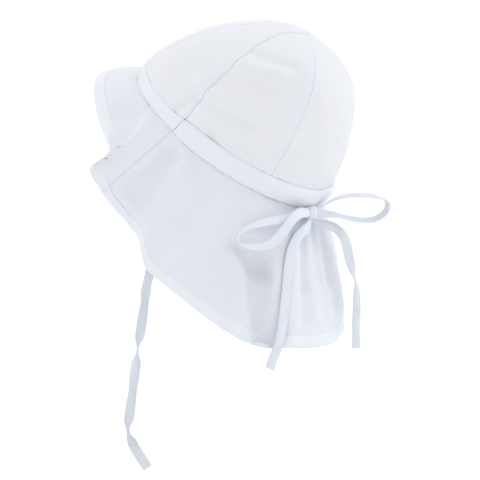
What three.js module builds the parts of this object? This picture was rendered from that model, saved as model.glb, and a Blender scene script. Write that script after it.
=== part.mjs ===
// A small child's cotton beach hat: a six-panel crown, a band, a brim and a long neck flap.
// It has the form that it has on a head: the front is tilted up and the ties hang straight down.
// Millimetres, +Z up, the front of the hat towards -X, and the origin in the middle of the band.
import * as THREE from 'three';
import { mergeVertices } from 'three/addons/utils/BufferGeometryUtils.js';

// The head opening, measured inside the band
const HEAD_LENGTH = 172;
const HEAD_WIDTH = 146;
const TILT = 36;

// The crown, from the middle of the band to its top
const CROWN_HEIGHT = 97;
const APEX_BACK = 9;
const CROWN_LEAN = 14;
const FRONT_TUCK = 12;
const BACK_TUCK = 20;
const CROWN_TIP = 1.5;
const PANEL_PUFF = 1.4;
const PANEL_GRID = { columns: 8, rows: 10 };

// The band in front, and the wider drawstring channel behind
const FRONT_BAND_WIDTH = 11;
const CHANNEL_WIDTH = 16;
const CHANNEL_PUFF = 2.6;
const PUFF_END = 0.3;
const BAND_GRID = { columns: 44, rows: 2 };
const CHANNEL_GRID = { columns: 46, rows: 5 };

// The brim and the neck flap, from the band to the hem
const BRIM_LENGTH = 40;
const FLAP_LENGTH = 106;
const HEM_WIDTH = 9;
const RIGHT_HEM_LIFT = 7;
const FOLD_FADE = 0.15;
const BRIM_GRID = { columns: 52, rows: 7 };
const FLAP_GRID = { columns: 60, rows: 11 };

// The cloth: one layer, the layers of the band, and the folded hem
const CLOTH = 1.4;
const BAND_CLOTH = 2.2;
const HEM_CLOTH = 2.2;
const CLEARANCE = 0.3;

// The flat ties and the knot of the bow
const TIE_WIDTH = 7.5;
const TIE_CLOTH = 1.2;
const KNOT_WIDTH = 8.6;
const KNOT_HEIGHT = 10;
const KNOT_DEPTH = 7;
const KNOT_SEAT = 0.4;
const KNOT_SQUARENESS = 0.7;

// Turns round the band in degrees: 0 is the front, 90 the left side, 180 the back
const SIDE_SEAM = 86;
const BRIM_SEAM = 83.5;
const KNOT_TURN = 174;
const BAND_BLEND = 10;
const REACH_BLEND = { from: 60, to: 120 };
const DRAWN_HEM = { from: 100, full: 130, fading: 160, to: 180 };
const HALF_TURN = 180;
const FULL_TURN = 360;

// The crown's seams: their turns at the band, halfway up and at the top, where they lean forwards
const CROWN_SEAMS = [
  { low: 30, middle: 30, high: 30 },
  { low: SIDE_SEAM, middle: 76, high: 48 },
  { low: 140, middle: 138, high: 128 },
  { low: 219, middle: 226, high: 186 },
  { low: FULL_TURN - SIDE_SEAM, middle: 284, high: 312 },
  { low: 330, middle: 330, high: 330 },
];
const PANEL_NAMES = ['left_front', 'left_back', 'back', 'right_back', 'right_front', 'front'];

const CROWN_COLOR = 0xeceef2;
const BRIM_COLOR = 0xe6eaf4;
const TIE_COLOR = 0xdfe8f2;

// The hem, seen from the edge of the band: shares of the reach forwards, outwards and down,
// and how far the cloth swells out in between
const HEM_ROWS = [
  { turn: 0, fore: 0.97, out: 0.0, drop: 0.04, belly: 0.05 },
  { turn: 12, fore: 0.93, out: 0.03, drop: 0.05, belly: 0.05 },
  { turn: 25, fore: 0.92, out: 0.07, drop: 0.08, belly: 0.05 },
  { turn: 38, fore: 0.93, out: 0.1, drop: 0.17, belly: 0.04 },
  { turn: 50, fore: 0.91, out: 0.18, drop: 0.3, belly: 0.02 },
  { turn: 61, fore: 0.86, out: 0.3, drop: 0.44, belly: 0.0 },
  { turn: 66, fore: 0.73, out: 0.43, drop: 0.52, belly: 0.0 },
  { turn: 70, fore: 0.66, out: 0.46, drop: 0.58, belly: 0.0 },
  { turn: 72.5, fore: 0.67, out: 0.54, drop: 0.64, belly: 0.0 },
  { turn: 75, fore: 0.8, out: 0.58, drop: 0.63, belly: 0.0 },
  { turn: 78, fore: 0.89, out: 0.56, drop: 0.62, belly: 0.0 },
  { turn: 81, fore: 0.825, out: 0.5, drop: 0.66, belly: 0.01 },
  { turn: 83.5, fore: 0.74, out: 0.4, drop: 0.74, belly: 0.01 },
  { turn: 87.5, fore: 0.68, out: 0.33, drop: 0.7, belly: 0.02 },
  { turn: 92, fore: 0.62, out: 0.27, drop: 0.65, belly: 0.02 },
  { turn: 96, fore: 0.57, out: 0.22, drop: 0.63, belly: 0.02 },
  { turn: 100, fore: 0.53, out: 0.19, drop: 0.62, belly: 0.03 },
  { turn: 104, fore: 0.48, out: 0.16, drop: 0.65, belly: 0.04 },
  { turn: 108, fore: 0.5, out: 0.14, drop: 0.7, belly: 0.04 },
  { turn: 112, fore: 0.49, out: 0.15, drop: 0.75, belly: 0.04 },
  { turn: 118, fore: 0.37, out: 0.17, drop: 0.81, belly: 0.04 },
  { turn: 128, fore: 0.22, out: 0.2, drop: 0.91, belly: 0.04 },
  { turn: 139, fore: 0.1, out: 0.2, drop: 1.0, belly: 0.04 },
  { turn: 150, fore: -0.02, out: 0.18, drop: 1.03, belly: 0.03 },
  { turn: 160, fore: -0.1, out: 0.13, drop: 1.01, belly: 0.02 },
  { turn: 170, fore: -0.14, out: 0.07, drop: 0.995, belly: 0.0 },
  { turn: 180, fore: -0.15, out: 0.0, drop: 0.98, belly: -0.01 },
];

// Soft valleys and ridges of brim and flap: from one place to another, as a turn and a share
// of the way from the band to the hem, with width and depth as shares of the brim's length
const FOLDS = [
  { turn: 50, share: 0.8, toTurn: 62, toShare: 0.5, width: 0.2, depth: 0.07 },
  { turn: 92, share: 0.2, toTurn: 95, toShare: 0.75, width: 0.2, depth: 0.08 },
  { turn: 108, share: 0.2, toTurn: 103, toShare: 0.85, width: 0.18, depth: -0.07 },
  { turn: 126, share: 0.5, toTurn: 133, toShare: 0.4, width: 0.2, depth: 0.06 },
  { turn: 140, share: 0.4, toTurn: 150, toShare: 0.95, width: 0.2, depth: 0.17 },
  { turn: 157, share: 0.2, toTurn: 156, toShare: 1.0, width: 0.16, depth: -0.06 },
  { turn: 168, share: 0.15, toTurn: 166, toShare: 0.8, width: 0.13, depth: 0.07 },
  { turn: 179, share: 0.15, toTurn: 178, toShare: 0.5, width: 0.12, depth: 0.05 },
];

const halfLength = HEAD_LENGTH / 2 + CLOTH;
const halfWidth = HEAD_WIDTH / 2 + CLOTH;
const tilt = THREE.MathUtils.degToRad(TILT);
const seamGap = THREE.MathUtils.radToDeg(CLEARANCE / 2 / halfWidth);
const hat = new THREE.Group();

// A place given behind, beside and above the middle of the band, as the hat is tilted
function hatPoint(back, side, up) {
  const cos = Math.cos(tilt);
  const sin = Math.sin(tilt);
  return new THREE.Vector3(back * cos + up * sin, side, up * cos - back * sin);
}

// The same place on the left side, for a turn on either side
function nearTurn(turn) {
  const size = Math.abs(turn);
  return size > HALF_TURN ? FULL_TURN - size : size;
}

function isRight(turn) {
  return turn < 0 || turn > HALF_TURN;
}

function bandHalf(turn) {
  const near = nearTurn(turn);
  const blend = THREE.MathUtils.smoothstep(near, SIDE_SEAM - BAND_BLEND, SIDE_SEAM + BAND_BLEND);
  return THREE.MathUtils.lerp(FRONT_BAND_WIDTH, CHANNEL_WIDTH, blend) / 2;
}

// A point of the ellipse round the head, grown outwards by some millimetres
function ringPoint(turn, grow, up) {
  const angle = THREE.MathUtils.degToRad(turn);
  return hatPoint(-(halfLength + grow) * Math.cos(angle), -(halfWidth + grow) * Math.sin(angle), up);
}

function outward(turn) {
  return ringPoint(turn, 1, 0).sub(ringPoint(turn, 0, 0)).normalize();
}

// The crown is half an egg that leans back, and is tucked in low down in front and behind
function domePoint(turn, rise, puff) {
  const angle = THREE.MathUtils.degToRad(turn);
  const climb = rise * Math.PI / 2;
  const base = bandHalf(turn) + CLEARANCE;
  const spread = Math.cos(climb);
  const lift = Math.sin(climb);
  const facing = Math.cos(angle);
  const tuck = (facing > 0 ? FRONT_TUCK : -BACK_TUCK) * facing ** 2 * lift * spread ** 2;
  const lean = APEX_BACK * lift + CROWN_LEAN * lift ** 2 * spread;
  const back = -(halfLength + puff) * facing * spread + lean + tuck;
  const side = -(halfWidth + puff) * Math.sin(angle) * spread;
  return hatPoint(back, side, base + (CROWN_HEIGHT + puff - base) * lift);
}

// Rows of a table are blended by a smooth curve through each of their columns
function blendRows(rows, turn) {
  const last = rows.length - 1;
  let k = 0;
  while (k < last - 1 && turn > rows[k + 1].turn) k += 1;
  const from = rows[k];
  const to = rows[k + 1];
  const before = rows[Math.max(k - 1, 0)];
  const after = rows[Math.min(k + 2, last)];
  const span = to.turn - from.turn;
  const t = (turn - from.turn) / span;
  const blended = {};
  for (const column of Object.keys(from)) {
    const slopeFrom = (to[column] - before[column]) / (to.turn - before.turn) * span;
    const slopeTo = (after[column] - from[column]) / (after.turn - from.turn) * span;
    blended[column] = from[column] * (1 + 2 * t) * (1 - t) ** 2 + to[column] * t * t * (3 - 2 * t)
      + slopeFrom * t * (1 - t) ** 2 - slopeTo * t * t * (1 - t);
  }
  return blended;
}

function hemReach(turn) {
  const blend = THREE.MathUtils.smoothstep(turn, REACH_BLEND.from, REACH_BLEND.to);
  return THREE.MathUtils.lerp(BRIM_LENGTH, FLAP_LENGTH, blend);
}

// How far a valley of the table pushes the cloth in at a place
function foldDepth(turn, share, reach) {
  const across = halfWidth * THREE.MathUtils.degToRad(1);
  let depth = 0;
  for (const fold of FOLDS) {
    const from = new THREE.Vector2(fold.turn * across, fold.share * reach);
    const to = new THREE.Vector2(fold.toTurn * across, fold.toShare * reach);
    const place = new THREE.Vector2(turn * across, share * reach);
    const way = to.clone().sub(from);
    const along = THREE.MathUtils.clamp(place.clone().sub(from).dot(way) / way.lengthSq(), 0, 1);
    const off = place.distanceTo(from.addScaledVector(way, along)) / (fold.width * BRIM_LENGTH);
    depth += fold.depth * BRIM_LENGTH * Math.exp(-off * off);
  }
  return depth * THREE.MathUtils.smoothstep(share, 0, FOLD_FADE);
}

// How much of the hem's lift on the right is reached at a turn
function drawnUp(near) {
  const rises = THREE.MathUtils.smoothstep(near, DRAWN_HEM.from, DRAWN_HEM.full);
  return rises * (1 - THREE.MathUtils.smoothstep(near, DRAWN_HEM.fading, DRAWN_HEM.to));
}

// Brim and flap are one skirt round the band, alike on both sides but for the hem behind,
// which is drawn up a little on the right
function skirtPoint(turn, share) {
  const near = nearTurn(turn);
  const row = blendRows(HEM_ROWS, near);
  const reach = hemReach(near);
  const top = ringPoint(near, 0, -bandHalf(near) - CLEARANCE);
  const chord = new THREE.Vector3(-row.fore, -row.out, -row.drop).multiplyScalar(reach);
  const along = chord.clone().normalize();
  const swell = outward(near).add(hatPoint(0, 0, 1));
  swell.addScaledVector(along, -swell.dot(along)).normalize();
  const belly = row.belly * reach * Math.sin(Math.PI * share);
  const point = top.addScaledVector(chord, share);
  point.addScaledVector(swell, belly - foldDepth(near, share, reach));
  if (isRight(turn)) {
    point.y = -point.y;
    point.z += RIGHT_HEM_LIFT * share * drawnUp(near);
  }
  return point;
}

// A closed solid from its points and faces, with the faces outwards
function closedSolid(points, faces) {
  const geometry = new THREE.BufferGeometry();
  geometry.setAttribute('position', new THREE.Float32BufferAttribute(points.flatMap((p) => p.toArray()), 3));
  const volume = faces.reduce((sum, [a, b, c]) => sum + points[a].dot(points[b].clone().cross(points[c])), 0);
  geometry.setIndex(faces.flatMap(([a, b, c]) => (volume > 0 ? [a, b, c] : [a, c, b])));
  const merged = mergeVertices(geometry, 1e-4);
  merged.computeVertexNormals();
  return merged;
}

// A wall of cloth between its outer face and its inner face, both functions of (u, v)
function clothWall(outer, inner, { columns, rows }) {
  const points = [];
  for (const face of [outer, inner]) {
    for (let j = 0; j <= rows; j += 1) {
      for (let i = 0; i <= columns; i += 1) points.push(face(i / columns, j / rows));
    }
  }
  return closedSolid(points, wallFaces(columns, rows));
}

// The inner face of a sheet, a wall's thickness behind it, on the side of the head
function faceBehind(sheet, wall) {
  const step = 1e-3;
  return (u, v) => {
    const midU = THREE.MathUtils.clamp(u, step, 1 - step);
    const midV = THREE.MathUtils.clamp(v, step, 1 - step);
    const du = sheet(midU + step, midV).sub(sheet(midU - step, midV));
    const dv = sheet(midU, midV + step).sub(sheet(midU, midV - step));
    const normal = du.cross(dv).normalize();
    const outer = sheet(u, v);
    if (normal.dot(outer) < 0) normal.negate();
    return outer.addScaledVector(normal, -wall(u, v));
  };
}

function wallFaces(columns, rows) {
  const across = columns + 1;
  const layer = across * (rows + 1);
  const faces = [];
  const quad = (a, b, c, d) => faces.push([a, b, c], [a, c, d]);
  for (let j = 0; j < rows; j += 1) {
    for (let i = 0; i < columns; i += 1) {
      const a = j * across + i;
      quad(a, a + 1, a + 1 + across, a + across);
      quad(layer + a, layer + a + across, layer + a + 1 + across, layer + a + 1);
    }
  }
  for (let i = 0; i < columns; i += 1) {
    const top = rows * across + i;
    quad(i, i + layer, i + 1 + layer, i + 1);
    quad(top, top + 1, top + 1 + layer, top + layer);
  }
  for (let j = 0; j < rows; j += 1) {
    const start = j * across;
    const end = start + columns;
    quad(start, start + across, start + across + layer, start + layer);
    quad(end, end + layer, end + across + layer, end + across);
  }
  return faces;
}

function cloth(color) {
  return new THREE.MeshStandardMaterial({ color, roughness: 0.9, metalness: 0, side: THREE.DoubleSide });
}

function addPiece(name, geometry, color) {
  const mesh = new THREE.Mesh(geometry, cloth(color));
  mesh.name = name;
  hat.add(mesh);
}

// A smooth curve through a seam's three turns
function seamTurn(seam, rise) {
  const toMiddle = THREE.MathUtils.lerp(seam.low, seam.middle, 2 * rise);
  const toHigh = THREE.MathUtils.lerp(seam.middle, seam.high, 2 * rise - 1);
  return THREE.MathUtils.lerp(toMiddle, toHigh, rise);
}

// A panel runs between two seams from the band to the top, and swells a little in between
function crownPanel(fromSeam, toSeam) {
  const topRise = 1 - 2 / Math.PI * Math.asin(CROWN_TIP / halfWidth);
  const face = (grow) => (u, v) => {
    const rise = v * topRise;
    const gap = seamGap / Math.cos(rise * Math.PI / 2);
    const turn = THREE.MathUtils.lerp(seamTurn(fromSeam, rise) + gap, seamTurn(toSeam, rise) - gap, u);
    const puff = PANEL_PUFF * Math.sin(Math.PI * u) * Math.sin(Math.PI * v);
    return domePoint(turn, rise, puff + grow);
  };
  return clothWall(face(0), face(-CLOTH), PANEL_GRID);
}

// The ends of the band slant from the seam of the brim below to that of the crown above
function bandStrip(lowFrom, highFrom, middleTurn, puff, grid) {
  const face = (grow, swell) => (u, v) => {
    const from = THREE.MathUtils.lerp(lowFrom, highFrom, v) + seamGap;
    const turn = THREE.MathUtils.lerp(from, 2 * middleTurn - from, u);
    const bulge = swell * Math.sin(Math.PI * v) * Math.sin(Math.PI * u) ** PUFF_END;
    return ringPoint(turn, grow + bulge, bandHalf(turn) * (2 * v - 1));
  };
  return clothWall(face(BAND_CLOTH - CLOTH, puff), face(-CLOTH, 0), grid);
}

// A stretch of the skirt is one layer of cloth, and thicker where the hem is folded over
function skirt(fromTurn, toTurn, grid) {
  const turnAt = (u) => THREE.MathUtils.lerp(fromTurn + seamGap, toTurn - seamGap, u);
  const sheet = (u, v) => skirtPoint(turnAt(u), v);
  const wall = (u, v) => {
    const turn = turnAt(u);
    const reach = hemReach(nearTurn(turn));
    return (1 - v) * reach < HEM_WIDTH ? HEM_CLOTH : CLOTH;
  };
  return clothWall(sheet, faceBehind(sheet, wall), grid);
}

// The ties: each route is a list of places along the middle of the tie, with the way that
// its flat side faces there
const LEFT_LOOP = [
  { x: 69.8, y: -12.6, z: -61, facing: [1, -0.2, 0.1] },
  { x: 70.5, y: -22, z: -60.6, facing: [1, -0.4, 0.2] },
  { x: 69, y: -36, z: -64.5, facing: [0.7, -0.6, 0.4] },
  { x: 61, y: -55, z: -66.8, facing: [0.3, -0.8, 0.6] },
  { x: 51, y: -68, z: -70.8, facing: [-0.4, -0.9, 0.6] },
  { x: 45.8, y: -74, z: -77, facing: [-0.7, -0.7, 0.3] },
  { x: 48.5, y: -75, z: -82, facing: [-0.7, -0.1, -0.7] },
  { x: 55, y: -73, z: -85, facing: [-0.4, 0.4, -0.8] },
  { x: 62.8, y: -67, z: -85, facing: [-0.4, 0.6, -0.7] },
  { x: 68.3, y: -59.5, z: -81.5, facing: [-0.4, 0.7, -0.5] },
  { x: 72.5, y: -52.4, z: -74, facing: [-0.5, 0.8, -0.3] },
  { x: 74.5, y: -43.5, z: -66, facing: [-0.6, 0.75, -0.2] },
  { x: 75.5, y: -33.5, z: -61.5, facing: [-0.7, 0.7, -0.2] },
  { x: 75, y: -22, z: -61, facing: [-0.9, 0.4, -0.1] },
  { x: 73.3, y: -12.6, z: -62.5, facing: [-1, 0.2, 0] },
];
const RIGHT_LOOP = [
  { x: 70.4, y: -1.6, z: -60.5, facing: [-0.9, 0, 0.4] },
  { x: 76, y: 4, z: -56.5, facing: [-0.5, -0.2, 0.8] },
  { x: 85, y: 11, z: -51, facing: [-0.1, -0.3, 0.95] },
  { x: 95, y: 20, z: -49, facing: [0.1, -0.35, 0.95] },
  { x: 106, y: 31, z: -50, facing: [0.3, -0.1, 0.95] },
  { x: 112, y: 38, z: -54.5, facing: [0.6, 0.7, 0.4] },
  { x: 111, y: 38, z: -62, facing: [0.4, 0.85, -0.4] },
  { x: 104, y: 33, z: -67.5, facing: [-0.1, 0.5, -0.9] },
  { x: 95, y: 24, z: -68, facing: [-0.2, 0.4, -0.9] },
  { x: 84, y: 10, z: -64, facing: [-0.3, 0.3, -0.9] },
  { x: 73.4, y: -1.6, z: -62.5, facing: [-1, 0.2, -0.1] },
];
const RIGHT_TAIL = [
  { x: 72.4, y: -5.2, z: -68.8, facing: [1, 0, 0.3] },
  { x: 78.5, y: 3, z: -71.5, facing: [0.9, -0.4, 0.4] },
  { x: 82.5, y: 10, z: -74, facing: [0.9, -0.5, 0.4] },
  { x: 85.5, y: 15, z: -79, facing: [0.9, -0.6, 0.3] },
  { x: 87, y: 19, z: -86, facing: [0.9, -0.6, 0.1] },
  { x: 89.5, y: 22, z: -102, facing: [0.9, -0.5, 0.1] },
  { x: 91.5, y: 25, z: -114, facing: [0.9, 0.5, 0] },
  { x: 92, y: 27, z: -122, facing: [0.9, -0.1, 0] },
  { x: 91.5, y: 28, z: -135, facing: [0.9, -0.4, 0] },
  { x: 90.5, y: 29, z: -151, facing: [0.9, -0.4, 0] },
  { x: 90, y: 30, z: -167, facing: [0.9, -0.5, 0] },
];
const LEFT_TAIL = [
  { x: 71.6, y: -11, z: -68.6, facing: [1, -0.2, 0.2] },
  { x: 73, y: -18.5, z: -73.5, facing: [1, -0.3, 0.2] },
  { x: 71, y: -29, z: -80, facing: [0.8, -0.5, 0.1] },
  { x: 69.5, y: -36.5, z: -92, facing: [0.8, -0.6, 0.1] },
  { x: 69.5, y: -42, z: -114, facing: [0.8, -0.6, 0.1] },
  { x: 69, y: -46, z: -138, facing: [0.8, -0.6, 0.1] },
  { x: 68, y: -51, z: -158, facing: [0.8, -0.6, 0.1] },
  { x: 66, y: -57, z: -170, facing: [0.8, -0.6, 0.1] },
  { x: 65, y: -60.5, z: -177.5, facing: [0.8, -0.6, 0.1] },
];
const CHIN_TIE = [
  { x: -26, y: -80.5, z: -90, facing: [0.1, -1, 0] },
  { x: -27.5, y: -80.5, z: -104, facing: [0.1, -1, 0] },
  { x: -31, y: -80.5, z: -118, facing: [0.3, -1, 0.1] },
  { x: -32.5, y: -80.5, z: -129, facing: [0.9, -0.4, 0] },
  { x: -36, y: -80.5, z: -150, facing: [0.4, -0.9, 0] },
  { x: -39, y: -80.5, z: -166, facing: [0.9, 0.4, 0] },
  { x: -41, y: -80.5, z: -181, facing: [0.4, -0.9, 0] },
  { x: -43.5, y: -80.5, z: -198, facing: [0.9, -0.4, 0] },
  { x: -46, y: -80.5, z: -215, facing: [0.4, -0.9, 0] },
  { x: -47.5, y: -80.5, z: -228, facing: [0.9, 0.3, 0.1] },
  { x: -42.5, y: -80.5, z: -239, facing: [0.5, -0.9, 0.2] },
  { x: -35, y: -80.5, z: -249, facing: [0.3, -0.9, 0.3] },
  { x: -30, y: -80.5, z: -255.5, facing: [0.3, -0.9, 0.3] },
];

// The tie's section is flat, with its two thin edges rounded off
function tieSection() {
  const side = TIE_WIDTH / 2;
  const half = TIE_CLOTH / 2;
  const flat = side - half;
  return [[-side, -half / 2], [-flat, -half], [flat, -half], [side, -half / 2],
    [side, half / 2], [flat, half], [-flat, half], [-side, half / 2]];
}

function tie(route, steps) {
  const places = route.map((p) => new THREE.Vector3(p.x, p.y, p.z));
  const path = new THREE.CatmullRomCurve3(places, false, 'centripetal');
  const facings = new THREE.CatmullRomCurve3(route.map((p) => new THREE.Vector3(...p.facing).normalize()));
  const section = tieSection();
  const sides = section.length;
  const points = [];
  const faces = [];
  for (let k = 0; k <= steps; k += 1) {
    const centre = path.getPoint(k / steps);
    const along = path.getTangent(k / steps);
    const across = along.clone().cross(facings.getPoint(k / steps)).normalize();
    const facing = across.clone().cross(along);
    for (const [wide, high] of section) {
      points.push(centre.clone().addScaledVector(across, wide).addScaledVector(facing, high));
    }
  }
  for (let k = 0; k < steps; k += 1) {
    for (let i = 0; i < sides; i += 1) {
      const a = k * sides + i;
      const b = k * sides + (i + 1) % sides;
      faces.push([a, b, b + sides], [a, b + sides, a + sides]);
    }
  }
  const end = steps * sides;
  for (let i = 1; i < sides - 1; i += 1) faces.push([0, i + 1, i], [end, end + i, end + i + 1]);
  return closedSolid(points, faces);
}

// The knot is a small lump with rounded edges
function knot() {
  const lump = new THREE.SphereGeometry(0.5, 16, 10);
  lump.deleteAttribute('normal');
  lump.deleteAttribute('uv');
  const size = new THREE.Vector3(KNOT_DEPTH, KNOT_WIDTH, KNOT_HEIGHT);
  const square = (value) => Math.sign(value) * Math.abs(2 * value) ** KNOT_SQUARENESS / 2;
  const places = lump.attributes.position;
  const place = new THREE.Vector3();
  for (let k = 0; k < places.count; k += 1) {
    place.fromBufferAttribute(places, k);
    place.set(square(place.x), square(place.y), square(place.z)).multiply(size);
    places.setXYZ(k, place.x, place.y, place.z);
  }
  const merged = mergeVertices(lump);
  merged.computeVertexNormals();
  return merged;
}

// The knot sits on the flap, close below the channel
function seatedKnot() {
  const seat = skirtPoint(KNOT_TURN, KNOT_HEIGHT / 2 / FLAP_LENGTH);
  return knot().translate(seat.x + KNOT_DEPTH / 2 + KNOT_SEAT, seat.y, seat.z);
}

// Six panels, from the left of the front round the back
CROWN_SEAMS.forEach((seam, k) => {
  const last = k === CROWN_SEAMS.length - 1;
  const next = CROWN_SEAMS[last ? 0 : k + 1];
  const turnOn = last ? FULL_TURN : 0;
  const toSeam = { low: next.low + turnOn, middle: next.middle + turnOn, high: next.high + turnOn };
  addPiece(`crown_${PANEL_NAMES[k]}`, crownPanel(seam, toSeam), CROWN_COLOR);
});

const channel = bandStrip(BRIM_SEAM, SIDE_SEAM, HALF_TURN, CHANNEL_PUFF, CHANNEL_GRID);
addPiece('front_band', bandStrip(-BRIM_SEAM, -SIDE_SEAM, 0, 0, BAND_GRID), BRIM_COLOR);
addPiece('drawstring_channel', channel, BRIM_COLOR);
addPiece('brim', skirt(-BRIM_SEAM, BRIM_SEAM, BRIM_GRID), BRIM_COLOR);
addPiece('neck_flap', skirt(BRIM_SEAM, FULL_TURN - BRIM_SEAM, FLAP_GRID), BRIM_COLOR);

addPiece('bow_knot', seatedKnot(), TIE_COLOR);
addPiece('bow_left_loop', tie(LEFT_LOOP, 30), TIE_COLOR);
addPiece('bow_right_loop', tie(RIGHT_LOOP, 26), TIE_COLOR);
addPiece('bow_left_tail', tie(LEFT_TAIL, 20), TIE_COLOR);
addPiece('bow_right_tail', tie(RIGHT_TAIL, 24), TIE_COLOR);
addPiece('chin_tie', tie(CHIN_TIE, 32), TIE_COLOR);

export default hat;
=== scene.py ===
# %% [markdown]
# A small child's beach hat
#
# The hat is sewn from thin, pale cotton. Six panels make the crown, a flat band runs round the
# front, a puffed drawstring channel runs round the back, and below them hang a short soft brim and
# a long neck flap. The drawstring is tied in a bow behind, and a flat tie hangs on the near side.
# The packed solids give the sizes. Each cloth piece is then made again here as thin cloth, with
# the folds, tucks and stitches that solids leave out, and it takes the place of its solid.

# %% Load the frame
import math
from collections import namedtuple

import bmesh
import bpy
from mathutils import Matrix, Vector, noise


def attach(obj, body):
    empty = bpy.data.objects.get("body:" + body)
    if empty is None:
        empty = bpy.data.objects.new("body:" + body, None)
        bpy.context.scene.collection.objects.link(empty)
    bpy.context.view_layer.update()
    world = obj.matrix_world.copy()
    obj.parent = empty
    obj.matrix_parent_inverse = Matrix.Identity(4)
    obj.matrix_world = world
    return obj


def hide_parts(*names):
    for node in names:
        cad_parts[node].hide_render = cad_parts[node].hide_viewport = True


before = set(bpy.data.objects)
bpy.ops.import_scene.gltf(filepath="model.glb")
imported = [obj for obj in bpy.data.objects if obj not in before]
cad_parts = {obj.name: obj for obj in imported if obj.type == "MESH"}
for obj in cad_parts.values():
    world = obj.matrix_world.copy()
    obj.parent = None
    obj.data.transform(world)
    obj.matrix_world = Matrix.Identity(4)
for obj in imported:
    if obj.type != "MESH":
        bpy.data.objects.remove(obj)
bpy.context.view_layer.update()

# %% [markdown]
# The camera
#
# The photograph looks at the hat's left side, a little from behind and almost level. A long lens
# flattens depth as a product photograph does. We name the size of a pixel at the hat, and the
# pixel where the middle of the head opening lies, and work out the camera from these.

# %% Place the camera
MM = 0.001
PHOTO_SIZE = 480
PIXEL = 0.77 * MM
ORIGIN_PIXEL = (235, 130)
VIEW_TURN = math.radians(30)
VIEW_RISE = math.radians(3)
LENS = 300
SENSOR = 36

camera_right = Vector((math.cos(VIEW_TURN), math.sin(VIEW_TURN), 0))
camera_back = Vector((
    math.sin(VIEW_TURN) * math.cos(VIEW_RISE),
    -math.cos(VIEW_TURN) * math.cos(VIEW_RISE),
    math.sin(VIEW_RISE),
))
camera_up = camera_back.cross(camera_right)


def place_camera():
    data = bpy.data.cameras.new("camera")
    data.lens = LENS
    data.sensor_width = SENSOR
    data.clip_end = 100
    camera = bpy.data.objects.new("camera", data)
    bpy.context.collection.objects.link(camera)
    aside = (PHOTO_SIZE / 2 - ORIGIN_PIXEL[0]) * PIXEL
    below = (PHOTO_SIZE / 2 - ORIGIN_PIXEL[1]) * PIXEL
    target = camera_right * aside - camera_up * below
    distance = PHOTO_SIZE * PIXEL * LENS / SENSOR
    camera.location = target + camera_back * distance
    camera.rotation_euler = camera_back.to_track_quat("Z", "Y").to_euler()
    bpy.context.scene.camera = camera
    return distance


print("camera distance in metres:", round(place_camera(), 2))

# %% [markdown]
# Shader sums
#
# Cloth needs a little maths in its material: threads are waves, and wear is noise. Written as
# nodes that is hard to read, so a small class wraps one socket and turns plus, minus and times
# into Math nodes. Every other node comes from one method, which takes a node's type, its settings
# and what goes into its sockets.

# %% A material that can be written as sums
class Yarn:
    """One value in a finish. Sums with it add Math nodes to the finish."""

    def __init__(self, finish, socket):
        self.finish = finish
        self.socket = socket

    def math(self, operation, *values):
        node = self.finish.node("ShaderNodeMath", {"operation": operation}, dict(enumerate(values)))
        return Yarn(self.finish, node.outputs[0])

    def __add__(self, other):
        return self.math("ADD", self, other)

    def __radd__(self, other):
        return self.math("ADD", other, self)

    def __sub__(self, other):
        return self.math("SUBTRACT", self, other)

    def __rsub__(self, other):
        return self.math("SUBTRACT", other, self)

    def __mul__(self, other):
        return self.math("MULTIPLY", self, other)

    def __rmul__(self, other):
        return self.math("MULTIPLY", other, self)

    def sine(self):
        return self.math("SINE", self)


class Finish:
    """A material under construction."""

    def __init__(self, name):
        self.material = bpy.data.materials.new(name)
        self.material.use_nodes = True
        self.tree = self.material.node_tree
        self.shader = self.tree.nodes["Principled BSDF"]

    def node(self, kind, settings=None, sockets=None):
        made = self.tree.nodes.new(kind)
        for setting, value in (settings or {}).items():
            setattr(made, setting, value)
        for socket, value in (sockets or {}).items():
            self.plug(made.inputs[socket], value)
        return made

    def plug(self, socket, value):
        if isinstance(value, Yarn):
            self.tree.links.new(value.socket, socket)
        else:
            socket.default_value = value

    def value(self, kind, settings=None, sockets=None, output=0):
        return Yarn(self, self.node(kind, settings, sockets).outputs[output])


print("sums ready:", [name for name in vars(Yarn) if name.startswith("__r")])

# %% [markdown]
# Cotton
#
# The cloth is a fine plain weave in a pale blue-white. Its threads follow the cut of each panel,
# so the pattern reads the piece's own flat map, where one unit is one metre of cloth. Two
# crossing waves make the weave, long thin noise makes the slubs of uneven yarn, and wide noise
# stands for the soft shading of washed cotton. Where cloth lies double, as beside a seam or in a
# hem, it lets less light through and looks a shade denser. An attribute painted on the mesh says
# where. On the ties, the same attribute paints shade into the colour: it makes the knot and parts
# of the hanging ties darker and greyer.

# %% Make the cotton finish
THREAD_PITCH = 0.62 * MM
SLUB_WIDTH = 1.1 * MM
SLUB_LENGTH = 16 * MM


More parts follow.
